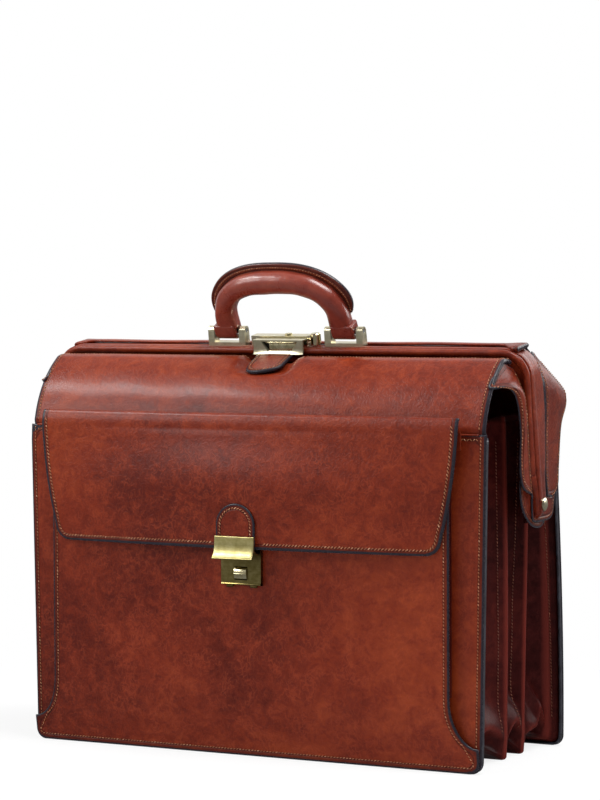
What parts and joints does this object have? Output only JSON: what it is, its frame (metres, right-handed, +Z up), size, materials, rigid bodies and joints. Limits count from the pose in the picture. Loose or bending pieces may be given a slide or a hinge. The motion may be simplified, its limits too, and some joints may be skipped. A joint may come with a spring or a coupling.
{
  "type": "framed leather briefcase",
  "caption": "Leather briefcase with a pleated gusset, a flap pocket with a tuck lock, and a hinged top frame with a handle and a brass lock.",
  "frame": {"origin": "middle of the bounding box on the surface the briefcase stands on", "axes": "+X to the right seen from the front, -Y out of the front pocket, +Z up"},
  "size_m": [0.4636, 0.208, 0.4207],
  "materials": {
    "leather": "cognac red, soft sheen, fine grain",
    "gusset_leather": "darker split leather, matt",
    "brass": "antique satin",
    "polished_brass": "polished",
    "steel": "satin"
  },
  "bodies": {
    "bag": {"front_panel": "leather", "front_shoulder": "leather", "rear_panel": "leather", "rear_shoulder": "leather", "gusset": "gusset_leather", "divider_front": "gusset_leather", "divider_rear": "gusset_leather", "pocket_front": "leather", "pocket_gusset": "gusset_leather", "flap_strip": "leather", "tuck_plate": "brass", "tuck_housing": "steel", "side_straps": "gusset_leather", "pivot_rivets": "brass"},
    "front_frame": {"front_bar": "steel", "front_cover": "leather", "front_bead": "leather", "front_wing_left": "leather", "front_wing_right": "leather", "front_tabs": "leather", "lock_faceplate": "brass", "lock_bolt_plate": "polished_brass"},
    "pull_tab": {"pull_tab": "leather"},
    "rear_frame": {"rear_bar": "steel", "rear_cover": "leather", "leg_caps": "leather", "rear_wing_left": "leather", "rear_wing_right": "leather", "rear_tabs": "leather", "lock_case": "brass", "bracket_left": "brass", "bracket_right": "brass", "handle_pins": "steel"},
    "handle": {"handle_grip": "leather", "handle_welt": "leather", "handle_loops": "leather"},
    "lock_knob": {"lock_knob": "polished_brass"},
    "key_barrel": {"key_barrel": "polished_brass"},
    "flap": {"flap": "leather", "flap_patch": "leather", "flap_clip": "brass"},
    "tuck_button": {"tuck_button": "polished_brass"}
  },
  "joints": [
    {"name": "front_frame_open", "type": "hinge", "parent": "bag", "child": "front_frame", "pos_m": [0, 0.02, 0.216], "axis": [1, 0, 0], "range_deg": [0, 26], "deforming": ["front_shoulder", "front_wing_left", "front_wing_right"]},
    {"name": "pull_tab_lift", "type": "hinge", "parent": "front_frame", "child": "pull_tab", "pos_m": [-0.0023, -0.0205, 0.3397], "axis": [1, 0, 0], "range_deg": [-75, 0]},
    {"name": "rear_frame_open", "type": "hinge", "parent": "bag", "child": "rear_frame", "pos_m": [0, 0.02, 0.216], "axis": [-1, 0, 0], "range_deg": [0, 45], "deforming": ["rear_shoulder", "rear_wing_left", "rear_wing_right"]},
    {"name": "handle_swing", "type": "hinge", "parent": "rear_frame", "child": "handle", "pos_m": [0, -0.00777, 0.36036], "axis": [1, 0, 0], "range_deg": [-90, 55]},
    {"name": "lock_knob_slide", "type": "slide", "parent": "rear_frame", "child": "lock_knob", "axis": [1, 0, 0], "range_m": [0, 0.004], "stiffness_N_per_m": 150},
    {"name": "key_barrel_turn", "type": "hinge", "parent": "rear_frame", "child": "key_barrel", "pos_m": [0.001, -0.00453, 0.35384], "axis": [0, -0.1822, 0.9833], "range_deg": [0, 90]},
    {"name": "flap_lift", "type": "hinge", "parent": "bag", "child": "flap", "pos_m": [0, -0.083, 0.2865], "axis": [-1, 0, 0], "range_deg": [0, 120]},
    {"name": "tuck_button_press", "type": "slide", "parent": "bag", "child": "tuck_button", "axis": [0, 1, 0], "range_m": [0, 0.002], "stiffness_N_per_m": 400}
  ],
  "couplings": [
    {"joint": "pull_tab_lift", "follows": "front_frame_open", "ratio": -2.8}
  ]
}
